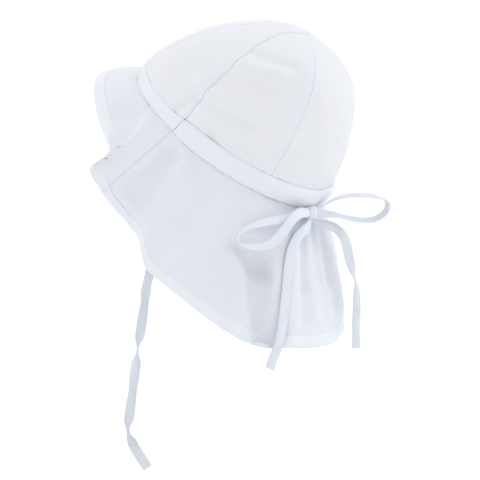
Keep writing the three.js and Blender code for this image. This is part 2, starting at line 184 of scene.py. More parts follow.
def cotton(name, colour, double_cloth_and_shade_colour):
    finish = Finish(name)
    cut = finish.value("ShaderNodeUVMap", {"uv_map": "cut"})
    apart = finish.node("ShaderNodeSeparateXYZ", None, {0: cut})
    across = Yarn(finish, apart.outputs[0])
    along = Yarn(finish, apart.outputs[1])
    wave = 2 * math.pi / THREAD_PITCH
    weave = (across * wave).sine() * (along * wave).sine()
    slub = slubs(finish, across, along) + slubs(finish, along, across)
    spot = finish.value("ShaderNodeTexCoord", output=3)
    wash = finish.value("ShaderNodeTexNoise", None, {"Vector": spot, "Scale": 38.0, "Detail": 2.0})
    shade = 1 + (slub - 1) * 0.03 + (wash - 0.5) * 0.05 + weave * 0.01
    double = finish.value("ShaderNodeAttribute", {"attribute_name": "double"}, output=2)
    # The attribute mixes in the second colour: denser double cloth on the sewn pieces, painted shade
    # on the ties and the knot.
    cloth = mixed(finish, "MIX", double, colour, double_cloth_and_shade_colour)
    grey = finish.value("ShaderNodeCombineColor", None, {0: shade, 1: shade, 2: shade})
    finish.plug(finish.shader.inputs["Base Color"], mixed(finish, "MULTIPLY", 1.0, cloth, grey))
    finish.plug(finish.shader.inputs["Roughness"], 0.86 + (wash - 0.5) * 0.1)
    finish.shader.inputs["Specular IOR Level"].default_value = 0.25
    finish.shader.inputs["Sheen Weight"].default_value = 0.12
    finish.shader.inputs["Sheen Roughness"].default_value = 0.5
    height = weave * 0.5 + slub * 0.6
    raised = {"Strength": 0.35, "Distance": 0.08 * MM, "Height": height}
    bump = finish.value("ShaderNodeBump", None, raised)
    finish.plug(finish.shader.inputs["Normal"], bump)
    return finish.material


def slubs(finish, across, along):
    """Noise drawn out along one set of threads."""
    drawn = {0: across * (1 / SLUB_WIDTH), 1: along * (1 / SLUB_LENGTH)}
    place = finish.value("ShaderNodeCombineXYZ", None, drawn)
    return finish.value("ShaderNodeTexNoise", None, {"Vector": place, "Scale": 1.0, "Detail": 1.0})


def mixed(finish, blend, factor, first, second):
    settings = {"data_type": "RGBA", "blend_type": blend}
    return finish.value("ShaderNodeMix", settings, {0: factor, 6: first, 7: second}, output=2)


crown_cotton = cotton("crown_cotton", (0.72, 0.734, 0.77, 1), (0.71, 0.732, 0.775, 1))
brim_cotton = cotton("brim_cotton", (0.70, 0.725, 0.773, 1), (0.73, 0.757, 0.81, 1))
band_cotton = cotton("band_cotton", (0.73, 0.752, 0.80, 1), (0.73, 0.752, 0.80, 1))
# The tie cotton's second colour is painted shade, a darker and greyer tone for the ties and the knot.
tie_cotton = cotton("tie_cotton", (0.715, 0.757, 0.825, 1), (0.6, 0.635, 0.7, 1))
print("finishes:", crown_cotton.name, brim_cotton.name, band_cotton.name, tie_cotton.name)

# %% [markdown]
# The ties, first of all
#
# The ties are flat strips, folded and sewn, that hang free, so their routes are fixed before
# anything else. Each route is a list of places along the middle of the strip, in millimetres,
# with the way that its flat side faces there. The lists follow those of the solids, with ends
# that run on into the knot and with more turn of the flat side, as soft cloth has.

# %% Routes of the ties
Stop = namedtuple("Stop", "x y z facing")

LEFT_LOOP = [
    Stop(70.5, -9, -62, (1, -0.1, 0.1)),
    Stop(69.8, -12.6, -61, (1, -0.2, 0.1)),
    Stop(70.5, -22, -60.6, (1, -0.4, 0.2)),
    Stop(69, -36, -64.5, (0.7, -0.6, 0.4)),
    Stop(61, -55, -66.8, (0.3, -0.8, 0.6)),
    Stop(51, -68, -70.8, (-0.4, -0.9, 0.6)),
    Stop(45.8, -74, -77, (-0.7, -0.7, 0.3)),
    Stop(48.5, -75, -82, (-0.7, -0.1, -0.7)),
    Stop(55, -73, -85, (-0.4, 0.4, -0.8)),
    Stop(62.8, -67, -85, (-0.4, 0.6, -0.7)),
    Stop(68.3, -59.5, -81.5, (-0.4, 0.7, -0.5)),
    Stop(72.5, -52.4, -74, (-0.5, 0.8, -0.3)),
    Stop(74.5, -43.5, -66, (-0.6, 0.75, -0.2)),
    Stop(75.5, -33.5, -61.5, (-0.7, 0.7, -0.2)),
    Stop(75, -22, -61, (-0.9, 0.4, -0.1)),
    Stop(73.3, -12.6, -62.5, (-1, 0.2, 0)),
    Stop(71.5, -9, -63, (-1, 0.1, 0)),
]
RIGHT_LOOP = [
    Stop(71, -6, -62.5, (-1, 0.2, 0.2)),
    Stop(70.4, -1.6, -60.5, (-0.9, 0, 0.4)),
    Stop(76, 4, -56.5, (-0.5, -0.2, 0.8)),
    Stop(85, 11, -51, (-0.1, -0.3, 0.95)),
    Stop(95, 20, -49, (0.1, -0.35, 0.95)),
    Stop(106, 31, -50, (0.3, -0.1, 0.95)),
    Stop(112, 38, -54.5, (0.6, 0.7, 0.4)),
    Stop(111, 38, -62, (0.4, 0.85, -0.4)),
    Stop(104, 33, -67.5, (-0.1, 0.5, -0.9)),
    Stop(95, 24, -68, (-0.2, 0.4, -0.9)),
    Stop(84, 10, -64, (-0.3, 0.3, -0.9)),
    Stop(73.4, -1.6, -62.5, (-1, 0.2, -0.1)),
    Stop(71.5, -6, -63, (-1, 0.1, 0)),
]
RIGHT_TAIL = [
    Stop(71.2, -7, -66, (1, 0, 0.3)),
    Stop(72.4, -5.2, -68.8, (1, 0, 0.3)),
    Stop(78.5, 3, -71.5, (0.9, -0.4, 0.4)),
    Stop(82.5, 10, -74, (0.9, -0.5, 0.4)),
    Stop(85.5, 15, -79, (0.9, -0.6, 0.3)),
    Stop(87, 19, -86, (0.9, -0.6, 0.1)),
    Stop(89.5, 22, -102, (0.9, -0.5, 0.1)),
    Stop(91.5, 25, -114, (0.9, 0.5, 0)),
    Stop(92, 27, -122, (0.9, -0.1, 0)),
    Stop(91.5, 28, -135, (0.9, -0.4, 0)),
    Stop(90.5, 29, -151, (0.9, -0.4, 0)),
    Stop(90, 30, -167, (0.9, -0.5, 0)),
]
LEFT_TAIL = [
    Stop(71.2, -9, -66, (1, -0.2, 0.2)),
    Stop(71.6, -11, -68.6, (1, -0.2, 0.2)),
    Stop(73, -18.5, -73.5, (1, -0.3, 0.2)),
    Stop(71, -29, -80, (0.8, -0.5, 0.1)),
    Stop(69.5, -36.5, -92, (0.8, -0.6, 0.1)),
    Stop(69.5, -42, -114, (0.8, -0.6, 0.1)),
    Stop(69, -46, -138, (0.8, -0.6, 0.1)),
    Stop(68, -51, -158, (0.8, -0.6, 0.1)),
    Stop(66, -57, -170, (0.8, -0.6, 0.1)),
    Stop(65, -60.5, -177.5, (0.8, -0.6, 0.1)),
]
CHIN_TIE = [
    Stop(-26, -80.5, -90, (0.1, -1, 0)),
    Stop(-27.5, -80.5, -104, (0.1, -1, 0)),
    Stop(-31, -80.5, -118, (0.3, -1, 0.1)),
    Stop(-32.5, -80.5, -129, (0.9, -0.4, 0)),
    Stop(-36, -80.5, -150, (0.4, -0.9, 0)),
    Stop(-39, -80.5, -166, (0.9, 0.4, 0)),
    Stop(-41, -80.5, -181, (0.4, -0.9, 0)),
    Stop(-43.5, -80.5, -198, (0.9, -0.4, 0)),
    Stop(-46, -80.5, -215, (0.4, -0.9, 0)),
    Stop(-47.5, -80.5, -228, (0.9, 0.3, 0.1)),
    Stop(-42.5, -80.5, -239, (0.5, -0.9, 0.2)),
    Stop(-35, -80.5, -249, (0.3, -0.9, 0.3)),
    Stop(-30, -80.5, -255.5, (0.3, -0.9, 0.3)),
]
print("stops:", [len(route) for route in (LEFT_LOOP, RIGHT_LOOP, RIGHT_TAIL, LEFT_TAIL, CHIN_TIE)])

# %% [markdown]
# Bending a grid of cloth
#
# Every cloth piece starts as a flat bmesh grid, like cloth on the cutting table. Each point of
# the grid is then carried to its place on the hat. Its place on the flat cloth goes into the
# piece's own map, so that threads run as they would in the real cut. The grid is closer at the
# edges, where seams turn in sharply. The Solidify modifier gives the cloth its wall afterwards.

# %% Helpers that cut and bend cloth
CLOTH = 0.8


def closer(share, ends=0.85):
    """Moves even steps from 0 to 1 closer together at both ends."""
    return share - ends * math.sin(2 * math.pi * share) / (2 * math.pi)


def cut_cloth(columns, rows, flat):
    """A flat grid with its map in metres. Each point keeps its share across and along."""
    cloth = bmesh.new()
    bmesh.ops.create_grid(cloth, x_segments=columns, y_segments=rows, size=0.5)
    cut = cloth.loops.layers.uv.new("cut")
    for face in cloth.faces:
        for loop in face.loops:
            across, along = flat(loop.vert.co.x + 0.5, loop.vert.co.y + 0.5)
            loop[cut].uv = (across * MM, along * MM)
    return cloth


def bend_cloth(cloth, place, relief=None, double=None):
    """Carries each point to its place, then raises it by its relief along the cloth's normal."""
    # On the sewn pieces the double attribute marks cloth that lies double; on the ties and the knot it
    # carries painted shade.
    layer = cloth.verts.layers.float.new("double")
    shares = {vert: (vert.co.x + 0.5, vert.co.y + 0.5) for vert in cloth.verts}
    for vert, (u, v) in shares.items():
        vert.co = place(u, v) * MM
        vert[layer] = double(u, v) if double else 0
    face_outwards(cloth)
    if relief:
        cloth.normal_update()
        lifts = {vert: vert.normal * relief(*shares[vert]) * MM for vert in cloth.verts}
        for vert, lift in lifts.items():
            vert.co += lift
    return cloth


def face_outwards(cloth, centre=Vector((0, 0, -30)) * MM):
    """An open sheet round the head faces away from it."""
    cloth.normal_update()
    outwards = sum((face.calc_center_median() - centre).dot(face.normal) for face in cloth.faces)
    if outwards < 0:
        bmesh.ops.reverse_faces(cloth, faces=cloth.faces)


def finish_piece(name, shape, material, slot, *nodes):
    """A bmesh becomes a piece of the hat that stands for its solids."""
    mesh = bpy.data.meshes.new(name)
    shape.to_mesh(mesh)
    shape.free()
    mesh.shade_smooth()
    mesh.materials.append(material)
    piece = bpy.data.objects.new(name, mesh)
    bpy.context.collection.objects.link(piece)
    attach(piece, "root")
    if nodes:
        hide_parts(*nodes)
    return piece


def give_wall(piece, thickness, offset=-1):
    wall = piece.modifiers.new("wall", "SOLIDIFY")
    wall.thickness = thickness * MM
    wall.offset = offset
    wall.use_even_offset = False
    return piece


print("cloth wall:", CLOTH, "mm")

# %% [markdown]
# The form of the head
#
# All sewn pieces share a few curves: an ellipse round the head, tilted up in front, half an egg
# for the crown, and a table for the hem. They are the same as in the solids, so that each cloth
# lies where its solid lies. Turns are in degrees round the band: 0 is the front, 90 the near side
# and 180 the back.

# %% Sizes of the hat
HEAD_LENGTH = 172
HEAD_WIDTH = 146
WALL = 1.4
HALF_LENGTH = HEAD_LENGTH / 2 + WALL
HALF_WIDTH = HEAD_WIDTH / 2 + WALL
TILT = math.radians(36)
CROWN_HEIGHT = 97
APEX_BACK = 9
CROWN_LEAN = 14
FRONT_TUCK = 12
BACK_TUCK = 20
FRONT_BAND_WIDTH = 11
CHANNEL_WIDTH = 16
SIDE_SEAM = 86
BRIM_SEAM = 83.5
BAND_BLEND = 10
FULL_TURN = 360
DEGREE = HALF_WIDTH * math.radians(1)


def between(low, high, value):
    """A soft step from 0 to 1."""
    share = min(max((value - low) / (high - low), 0), 1)
    return share * share * (3 - 2 * share)


def lerp(low, high, share):
    return low + (high - low) * share


def near_turn(turn):
    size = abs(turn)
    return FULL_TURN - size if size > FULL_TURN / 2 else size


def is_right(turn):
    return turn < 0 or turn > FULL_TURN / 2


def hat_point(back, side, up):
    """A place behind, beside and above the middle of the band, tilted with the hat."""
    level = back * math.cos(TILT) + up * math.sin(TILT)
    return Vector((level, side, up * math.cos(TILT) - back * math.sin(TILT)))


def band_half(turn):
    wide = between(SIDE_SEAM - BAND_BLEND, SIDE_SEAM + BAND_BLEND, near_turn(turn))
    return lerp(FRONT_BAND_WIDTH, CHANNEL_WIDTH, wide) / 2


def ring_point(turn, grow, up):
    """A place on the oval round the head, grown outwards and moved up."""
    angle = math.radians(turn)
    back = -(HALF_LENGTH + grow) * math.cos(angle)
    side = -(HALF_WIDTH + grow) * math.sin(angle)
    return hat_point(back, side, up)


def dome_point(turn, rise, puff):
    """The crown: half an egg that leans back and is tucked in low down."""
    angle = math.radians(turn)
    spread = math.cos(rise * math.pi / 2)
    lift = math.sin(rise * math.pi / 2)
    facing = math.cos(angle)
    tuck = (FRONT_TUCK if facing > 0 else -BACK_TUCK) * facing ** 2 * lift * spread ** 2
    lean = APEX_BACK * lift + CROWN_LEAN * lift ** 2 * spread
    back = -(HALF_LENGTH + puff) * facing * spread + lean + tuck
    side = -(HALF_WIDTH + puff) * math.sin(angle) * spread
    base = band_half(turn) + 0.1
    return hat_point(back, side, base + (CROWN_HEIGHT + puff - base) * lift)


def tucked_in(point, turn, depth, down):
    """The turned edge of a cloth, behind the band: deeper in than the band, and past its edge."""
    inward = ring_point(turn, -1, 0) - ring_point(turn, 0, 0)
    return point + inward.normalized() * depth - hat_point(0, 0, down)


print("top of the crown:", [round(c) for c in dome_point(0, 1, 0)], "mm")

# %% [markdown]
# Creases
#
# A crease in soft cloth is a long low wave. Each row of a crease table runs from one place to
# another, given as a turn and a share of the way down or up the piece, and has a width and a
# height in millimetres. A minus height is a valley. Noise adds the small unevenness that sewn
# cotton always has, and a pucker is noise that dies away from a seam.

# %% Helpers for creases and puckers
Crease = namedtuple("Crease", "turn share to_turn to_share width height")


def crease_height(creases, turn, share, across, reach):
    """The sum of all creases at a place. across is millimetres a degree, reach the full way."""
    height = 0
    for crease in creases:
        start = Vector((crease.turn * across, crease.share * reach))
        way = Vector((crease.to_turn * across, crease.to_share * reach)) - start
        place = Vector((turn * across, share * reach)) - start
        along = min(max(place.dot(way) / way.length_squared, 0), 1)
        off = (place - way * along).length / crease.width
        height += crease.height * math.exp(-off * off)
    return height


def uneven(point, size, seed):
    """Smooth noise of about one unit, with waves of about that size."""
    return 1.6 * noise.noise(point / size + Vector((seed, seed * 1.7, seed * 0.3)))


def pucker(distance, way, size, seed, fade):
    """Small tucks along a seam, that die away with the distance from it."""
    waves = uneven(Vector((way, seed * 11, 0)), size, seed)
    return waves * math.exp(-distance / fade)


def seam_dip(distance, depth, width):
    return -depth * math.exp(-distance / width)


print("pucker beside a seam:", round(pucker(0, 5, 8, 1, 6), 2))

# %% [markdown]
# The crown
#
# The crown of such a hat is cut as six leaf-shaped panels. Where two meet, both edges are turned
# in and sewn, which pulls the cloth into a sharp line with small tucks on each side. Each panel
# is bent from its own grid between two seams. The seams lean forwards as they climb, as they do
# in the photograph, and the near side seam is pulled in deepest, with drag lines behind it.

# %% Seams and creases of the crown
Seam = namedtuple("Seam", "low middle high depth width")
CROWN_SEAMS = [
    Seam(30, 30, 30, 0.35, 0.7),
    Seam(SIDE_SEAM, 76, 48, 1.0, 0.7),
    Seam(140, 138, 128, 0.25, 0.7),
    Seam(219, 226, 186, 0.5, 0.7),
    Seam(FULL_TURN - SIDE_SEAM, 284, 312, 1.0, 0.7),
    Seam(330, 330, 330, 0.35, 0.7),
]
PANEL_NAMES = ["left_front", "left_back", "back", "right_back", "right_front", "front"]
CROWN_CREASES = [
    Crease(84, 0.2, 111, 0.26, 4.0, 2.0),
    Crease(88, 0.14, 117, 0.2, 3.6, -2.0),
    Crease(97, 0.06, 124, 0.125, 3.6, 1.6),
    Crease(102, 0.015, 120, 0.055, 3.4, -1.1),
    Crease(79, 0.54, 113, 0.64, 4.5, -1.7),
    Crease(82, 0.45, 111, 0.56, 5.0, 1.6),
    Crease(86, 0.33, 122, 0.4, 8.0, -1.6),
    Crease(78, 0.03, 81.5, 0.14, 2.6, -2.2),
    Crease(73, 0.08, 79, 0.3, 4.0, 1.0),
    Crease(112, 0.75, 150, 0.5, 12.0, 1.2),
]
CROWN_TOP = 0.995
ALLOWANCE_SHARE = 0.04
ALLOWANCE = 7
TURNED_DEPTH = 1.4
TURNED_RUN = 4
PANEL_AREA = 0.62
MERIDIAN = 133
PANEL_PUFF = -0.7


def seam_turn(seam, rise):
    to_middle = lerp(seam.low, seam.middle, 2 * rise)
    to_high = lerp(seam.middle, seam.high, 2 * rise - 1)
    return lerp(to_middle, to_high, rise)


def rise_at(v):
    """The first rows of the grid are the turned edge, and the others climb from band to top."""
    return closer(max(v - ALLOWANCE_SHARE, 0) / (1 - ALLOWANCE_SHARE), 0.5) * CROWN_TOP


def wavering(seam, rise):
    """A sewn seam wanders a little to both sides."""
    side = uneven(Vector((seam.low, 0, rise * MERIDIAN)), 13, 3) * 0.55
    return seam_turn(seam, rise) + side * min(1, 4 * rise) * (1 - rise)


print("side seam at half height:", seam_turn(CROWN_SEAMS[1], 0.5))

# %% Shape of one crown panel
def panel_maps(seam, next_seam):
    """The places, relief and flat cut of the panel between two seams."""

    def spot(u, v):
        rise = rise_at(v)
        gap = 0.05 / DEGREE / math.cos(rise * math.pi / 2)
        turn = lerp(wavering(seam, rise) + gap, wavering(next_seam, rise) - gap, closer(u))
        return turn, rise

    def place(u, v):
        turn, rise = spot(u, v)
        puff = PANEL_PUFF * math.sin(math.pi * closer(u)) * math.sin(math.pi * rise)
        point = dome_point(turn, rise, puff)
        under = 1 - min(v / ALLOWANCE_SHARE, 1)
        depth = TURNED_DEPTH * min(2 * under, 1)
        return tucked_in(point, turn, depth, TURNED_RUN * under) if under else point

    def relief(u, v):
        turn, rise = spot(u, v)
        radius = math.cos(rise * math.pi / 2)
        wide = (next_seam.low - seam.low) * DEGREE * radius
        from_seam = closer(u) * wide
        to_seam = (1 - closer(u)) * wide
        way = rise * MERIDIAN
        point = dome_point(turn, rise, 0)
        near_top = min(1, radius * HALF_WIDTH / 5)
        height = crease_height(CROWN_CREASES, near_turn(turn), rise, DEGREE * 0.85, MERIDIAN)
        height += 0.45 * uneven(point, 26, 1) + 0.12 * uneven(point, 9, 2)
        height += 0.5 * pucker(from_seam, way, 7, seam.low, 5) * min(1, seam.depth)
        height += 0.5 * pucker(to_seam, way, 7, next_seam.low, 5) * min(1, next_seam.depth)
        height += 0.4 * pucker(way, turn * DEGREE, 6, 5, 5)
        height += seam_dip(from_seam, seam.depth, seam.width)
        height += seam_dip(to_seam, next_seam.depth, next_seam.width)
        return height * near_top + seam_dip(way, 0.15, 0.5)

    def flat(u, v):
        rise = rise_at(v)
        wide = (next_seam.low - seam.low) * DEGREE * math.cos(rise * math.pi / 2)
        return (closer(u) - 0.5) * wide, rise * MERIDIAN

    return place, relief, flat


def allowance(seam, next_seam):
    """Beside a seam the cloth lies double: its turned edge is pressed towards the front."""

    def double(u, v):
        rise = rise_at(v)
        wide = (next_seam.low - seam.low) * DEGREE * math.cos(rise * math.pi / 2)
        to_seam = (1 - closer(u)) * wide
        return 1 - between(ALLOWANCE - 0.5, ALLOWANCE + 0.5, to_seam)

    return double


print("side seams:", [seam.low for seam in CROWN_SEAMS if seam.depth == 1])

# %% Sew the crown
PANEL_COLUMNS = 56
PANEL_ROWS = 84


def crown_panel(name, seam, next_seam):
    place, relief, flat = panel_maps(seam, next_seam)
    cloth = cut_cloth(PANEL_COLUMNS, PANEL_ROWS, flat)
    bend_cloth(cloth, place, relief, allowance(seam, next_seam))
    piece = finish_piece(f"{name}_cloth", cloth, crown_cotton, "crown_cloth", name)
    give_wall(piece, CLOTH)
    wide = (next_seam.low - seam.low) * DEGREE
    area = PANEL_AREA * wide * MERIDIAN * MM ** 2
    wide * MM
    return piece


def sew_crown():
    for number, seam in enumerate(CROWN_SEAMS):
        last = number == len(CROWN_SEAMS) - 1
        next_seam = CROWN_SEAMS[0 if last else number + 1]
        if last:
            turned = [turn + FULL_TURN for turn in next_seam[:3]]
            next_seam = Seam(*turned, next_seam.depth, next_seam.width)
        panel = crown_panel(f"crown_{PANEL_NAMES[number]}", seam, next_seam)
        print(panel.name, len(panel.data.polygons), "faces")


sew_crown()

# %% [markdown]
# The band and the channel
#
# In front, the band is a flat strip between crown and brim. Behind, it is a wider tube of cloth
# that holds the drawstring. Drawn up, a tube puffs out and gathers: many small tucks cross it,
# deepest at its two sewn edges. Each is one strip with a rounded section, which dips under the
# cloth beside it along both edges.

# %% Sew the front band and the drawstring channel
BAND_LIFT = 0.8
CHANNEL_PUFF = 2.9


def strip_maps(low_from, high_from, middle, puff):
    """The places, relief and flat cut of a strip that is even about its middle turn."""

    def spot(u, v):
        start = lerp(low_from, high_from, v) + 0.02
        return lerp(start, 2 * middle - start, u), 2 * closer(v, 0.7) - 1

    def place(u, v):
        turn, height = spot(u, v)
        ends = math.sin(math.pi * u) ** 0.3
        edge = (1 - abs(height)) * band_half(turn)
        lift = BAND_LIFT - (BAND_LIFT + 0.3) * math.exp(-edge / 0.45)
        grow = lift + puff * ends * (1 - height ** 2) ** 0.8
        return ring_point(turn, grow, (band_half(turn) + 0.3) * height)

    def relief(u, v):
        turn, height = spot(u, v)
        edge = (1 - abs(height)) * band_half(turn)
        way = turn * DEGREE * 1.1
        gathers = 0.2 + 0.22 * puff
        end = min(u, 1 - u) * (2 * middle - 2 * low_from) * DEGREE
        tucks = gathers * pucker(edge, way + 3 * height, 6, 2 + (height > 0), 3.5)
        soft = 0.12 * puff * uneven(Vector((way, height * 4, 0)), 9, 6)
        return (tucks + soft) * min(edge / 1.5, 1) + seam_dip(abs(end), 0.25, 0.4)

    def flat(u, v):
        turn, height = spot(u, v)
        return turn * DEGREE * 1.1, height * band_half(turn) * (1 + puff / 20)

    return place, relief, flat


def sew_strip(name, low_from, high_from, middle, puff, columns, rows):
    place, relief, flat = strip_maps(low_from, high_from, middle, puff)
    cloth = bend_cloth(cut_cloth(columns, rows, flat), place, relief, lambda u, v: 1)
    piece = finish_piece(f"{name}_cloth", cloth, band_cotton, "brim_cloth", name)
    give_wall(piece, CLOTH * 1.4)
    print(name, len(piece.data.polygons), "faces")


sew_strip("front_band", -BRIM_SEAM, -SIDE_SEAM, 0, 0, 260, 18)
sew_strip("drawstring_channel", BRIM_SEAM, SIDE_SEAM, FULL_TURN / 2, CHANNEL_PUFF, 300, 26)

# %% [markdown]
# The brim and the neck flap
#
# Brim and flap are one skirt of cloth, joined by a seam on each side. The table gives the hem at
# each turn as shares of the cloth's reach: forwards, outwards and down, with the swell between
# band and hem. The free edge is a real folded hem here: the cloth runs down, turns round a small
# radius and goes back up inside for nine millimetres, where a row of stitches holds it.

# %% The table of the hem
BRIM_LENGTH = 40
FLAP_LENGTH = 106
HEM_WIDTH = 9
RIGHT_HEM_LIFT = 7
HEM_ROUND = 0.95
Hem = namedtuple("Hem", "turn fore out drop belly")
HEM_ROWS = [
    Hem(0, 0.97, 0.0, 0.04, 0.05),
    Hem(12, 0.93, 0.03, 0.05, 0.05),
    Hem(25, 0.92, 0.07, 0.08, 0.05),
    Hem(38, 0.93, 0.1, 0.17, 0.04),
    Hem(50, 0.91, 0.18, 0.3, 0.02),
    Hem(61, 0.86, 0.3, 0.44, 0.0),
    Hem(66, 0.73, 0.43, 0.52, 0.0),
    Hem(70, 0.66, 0.46, 0.58, 0.0),
    Hem(72.5, 0.67, 0.54, 0.64, 0.0),
    Hem(75, 0.8, 0.58, 0.63, 0.0),
    Hem(78, 0.89, 0.56, 0.62, 0.0),
    Hem(81, 0.825, 0.5, 0.66, 0.01),
    Hem(83.5, 0.74, 0.4, 0.74, 0.01),
    Hem(87.5, 0.68, 0.33, 0.7, 0.02),
    Hem(92, 0.62, 0.27, 0.65, 0.02),
    Hem(96, 0.57, 0.22, 0.63, 0.02),
    Hem(100, 0.53, 0.19, 0.62, 0.03),
    Hem(104, 0.48, 0.16, 0.65, 0.04),
    Hem(108, 0.5, 0.14, 0.7, 0.04),
    Hem(112, 0.49, 0.15, 0.75, 0.04),
    Hem(118, 0.37, 0.17, 0.81, 0.04),
    Hem(128, 0.22, 0.2, 0.91, 0.04),
    Hem(139, 0.1, 0.2, 1.0, 0.04),
    Hem(150, -0.02, 0.18, 1.03, 0.03),
    Hem(160, -0.1, 0.13, 1.01, 0.02),
    Hem(170, -0.14, 0.07, 0.995, 0.0),
    Hem(180, -0.15, 0.0, 0.98, -0.01),
]


def hem_at(turn):
    """The hem's columns at a turn, on a smooth curve through the rows."""
    last = len(HEM_ROWS) - 1
    number = max(k for k in range(last) if k == 0 or HEM_ROWS[k].turn < turn)
    start, end = HEM_ROWS[number], HEM_ROWS[number + 1]
    before, after = HEM_ROWS[max(number - 1, 0)], HEM_ROWS[min(number + 2, last)]
    span = end.turn - start.turn
    t = (turn - start.turn) / span
    columns = []
    for a, b, c, d in zip(before, start, end, after):
        slope = (c - a) / (end.turn - before.turn) * span
        next_slope = (d - b) / (after.turn - start.turn) * span
        ease = b * (1 + 2 * t) * (1 - t) ** 2 + c * t * t * (3 - 2 * t)
        columns.append(ease + slope * t * (1 - t) ** 2 - next_slope * t * t * (1 - t))
    return Hem(*columns)


print("hem at the back:", hem_at(180))

# %% Creases and surface of the skirt
SKIRT_CREASES = [
    Crease(50, 0.8, 62, 0.5, 8.0, -2.8),
    Crease(92, 0.2, 95, 0.75, 8.0, -3.2),
    Crease(108, 0.2, 103, 0.85, 7.2, 2.8),
    Crease(126, 0.5, 133, 0.4, 8.0, -2.4),
    Crease(140, 0.4, 150, 0.95, 8.0, -6.8),
    Crease(157, 0.2, 156, 1.0, 6.4, 2.4),
    Crease(168, 0.15, 166, 0.8, 5.2, -2.8),
    Crease(179, 0.15, 178, 0.5, 4.8, -2.0),
]
SMALL_CREASES = [
    Crease(142, 0.88, 142, 1.0, 2.6, -1.4),
    Crease(93, 0.93, 93.5, 1.0, 3.0, -1.2),
    Crease(100.5, 0.9, 100, 1.0, 3.0, -1.2),
    Crease(56, 0.62, 69, 0.65, 6.0, -2.2),
    Crease(34, 0.2, 50, 0.3, 8.0, 1.4),
    Crease(70, 0.12, 74, 0.85, 3.5, 1.7),
    Crease(63, 0.3, 67, 0.5, 4.0, -1.2),
    Crease(92, 0.12, 91, 0.75, 6.0, -2.8),
    Crease(99, 0.12, 106, 0.9, 6.0, 3.2),
    Crease(134, 0.44, 146, 0.52, 5.5, -3.0),
    Crease(146, 0.5, 153, 0.9, 7.0, -5.0),
    Crease(144, 0.35, 146, 0.52, 6.0, -2.6),
    Crease(150.5, 0.45, 153, 0.9, 4.0, 3.2),
    Crease(136, 0.5, 142, 0.9, 6.0, 3.6),
    Crease(119, 0.35, 128, 0.9, 9.0, 2.8),
    Crease(166, 0.15, 158, 0.95, 5.0, 2.8),
    Crease(172, 0.06, 168, 0.6, 3.5, -2.0),
    Crease(177, 0.06, 174, 0.8, 4.0, 1.5),
    Crease(184, 0.06, 190, 0.6, 4.0, -1.6),
    Crease(80, 0.3, 81, 0.9, 3.0, -0.8),
]
FOLD_FADE = 0.15
REACH_FROM = 60
REACH_TO = 120


def hem_reach(turn):
    return lerp(BRIM_LENGTH, FLAP_LENGTH, between(REACH_FROM, REACH_TO, turn))


def skirt_point(turn, share):
    """A place on the skirt's large form, at a share of the way from the band to the hem."""
    near = near_turn(turn)
    hem = hem_at(near)
    reach = hem_reach(near)
    chord = Vector((-hem.fore, -hem.out, -hem.drop)) * reach
    outward = (ring_point(near, 1, 0) - ring_point(near, 0, 0)).normalized()
    swell = outward + hat_point(0, 0, 1)
    swell -= chord.normalized() * swell.dot(chord.normalized())
    folds = crease_height(SKIRT_CREASES, near, share, DEGREE, reach) * between(0, FOLD_FADE, share)
    belly = hem.belly * reach * math.sin(math.pi * share)
    point = ring_point(near, 0, -band_half(near) - 0.1) + chord * share
    point += swell.normalized() * (belly + folds)
    if is_right(turn):
        drawn = between(100, 130, near) * (1 - between(160, 180, near))
        point = Vector((point.x, -point.y, point.z + RIGHT_HEM_LIFT * share * drawn))
    return point


print("hem behind:", [round(c) for c in skirt_point(180, 1)], "mm")

# %% Shape of a skirt piece with its folded hem
def sharp_at(turn):
    """1 at the two corners beside the chin, where the edge bends sharply, and 0 elsewhere."""
    near = near_turn(turn)
    return between(60, 67, near) - between(78, 83, near)


def inward_at(turn, share):
    """The way towards the head, square to the cloth, over a wider stretch where it bends sharply."""
    span = lerp(0.4, 6, sharp_at(turn))
    share = lerp(share, 0.6, sharp_at(turn))
    low, high = max(share - 0.01, 0), min(share + 0.01, 1)
    across = skirt_point(turn + span, share) - skirt_point(turn - span, share)
    down = skirt_point(turn, high) - skirt_point(turn, low)
    inward = across.cross(down).normalized()
    head = Vector((0, 0, -20)) - skirt_point(turn, share)
    return inward if inward.dot(head) > 0 else -inward


def hem_width(turn):
    """The hem is turned in less at the corners, because a wide one would not lie flat there."""
    near = near_turn(turn)
    beside_face = between(80, 85, near) - between(97, 104, near)
    return HEM_WIDTH * (1 - 0.75 * sharp_at(turn) - 0.38 * beside_face)


def hem_round(turn):
    return HEM_ROUND * (1 - 0.45 * sharp_at(turn))


def hem_length(turn):
    return hem_reach(near_turn(turn)) + math.pi * hem_round(turn) + hem_width(turn)


def hem_spot(turn, v):
    """The share of the way down, and how far round the fold of the hem the cloth is."""
    reach = hem_reach(near_turn(turn))
    bend = math.pi * hem_round(turn)
    gone = max(v - ALLOWANCE_SHARE, 0) / (1 - ALLOWANCE_SHARE) * hem_length(turn)
    if gone < reach:
        return gone / reach, 0
    if gone < reach + bend:
        return 1, (gone - reach) / bend
    return 1 - (gone - reach - bend) / reach, 1


